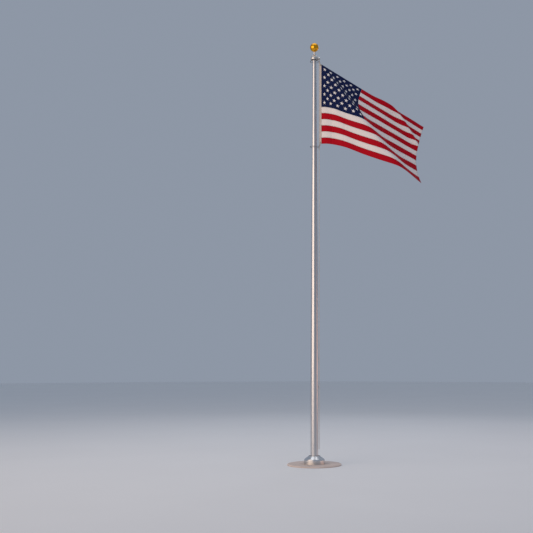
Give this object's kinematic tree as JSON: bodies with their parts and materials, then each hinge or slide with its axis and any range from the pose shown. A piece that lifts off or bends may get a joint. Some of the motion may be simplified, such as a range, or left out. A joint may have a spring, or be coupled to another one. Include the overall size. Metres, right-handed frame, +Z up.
{
  "type": "flagpole",
  "caption": "Tapered aluminium flagpole with a ball finial, truck, halyard, cleat and flash collar on a round footing, flying a striped flag with a star canton.",
  "frame": {"origin": "centre of the footing's underside, at ground level on the pole's axis", "axes": "+Z up along the pole, +X the way the flag flies, the halyard's near fall on the -Y side"},
  "size_m": [2.0965, 0.8494, 6.361],
  "materials": {
    "concrete": "trowelled concrete",
    "spun_aluminium": "spun and polished",
    "pole_aluminium": "satin, brushed round the tube",
    "cast_aluminium": "cast and tumbled",
    "nylon_black": "moulded nylon",
    "steel": "stainless steel",
    "gold_anodised": "polished and gold anodised",
    "rope": "braided polyester rope",
    "bead_black": "moulded rollers",
    "bronze": "dull bronze",
    "brass": "pressed brass",
    "canvas": "heavy duck canvas",
    "flag_blue": "dyed woven nylon",
    "flag_red": "dyed woven nylon",
    "flag_white": "woven nylon"
  },
  "bodies": {
    "mast": {"footing": "concrete", "flash_collar": "spun_aluminium", "pole_shaft": "pole_aluminium", "truck_cap": "cast_aluminium", "sheave_axle": "steel", "ball_stem": "cast_aluminium", "ball": "gold_anodised", "halyard": "rope", "cleat": "cast_aluminium", "cleat_screws": "steel"},
    "sheave_wheel": {"sheave": "nylon_black"},
    "carriage": {"retainer_cable_top": "steel", "retainer_beads_top": "bead_black", "retainer_cable_bottom": "steel", "retainer_beads_bottom": "bead_black", "halyard_knot": "rope"},
    "flag": {"snap_top": "bronze", "snap_bottom": "bronze", "grommet_top": "brass", "grommet_bottom": "brass", "flag_heading": "canvas", "flag_canton": "flag_blue", "flag_stripe_01": "flag_red", "flag_stripe_02": "flag_white", "flag_stripe_03": "flag_red", "flag_stripe_04": "flag_white", "flag_stripe_05": "flag_red", "flag_stripe_06": "flag_white", "flag_stripe_07": "flag_red", "flag_stripe_08": "flag_white", "flag_stripe_09": "flag_red", "flag_stripe_10": "flag_white", "flag_stripe_11": "flag_red", "flag_stripe_12": "flag_white", "flag_stripe_13": "flag_red"}
  },
  "joints": [
    {"name": "sheave_spin", "type": "hinge", "parent": "mast", "child": "sheave_wheel", "pos_m": [0.072, 0, 6.114], "axis": [1, 0, 0], "continuous": true},
    {"name": "flag_hoist", "type": "slide", "parent": "mast", "child": "carriage", "axis": [0, 0, 1], "range_m": [-3.2, 0]},
    {"name": "flag_swing", "type": "hinge", "parent": "carriage", "child": "flag", "pos_m": [0.072, -0.02, 5.41], "axis": [0, 0, 1], "range_deg": [-90, 60]}
  ]
}
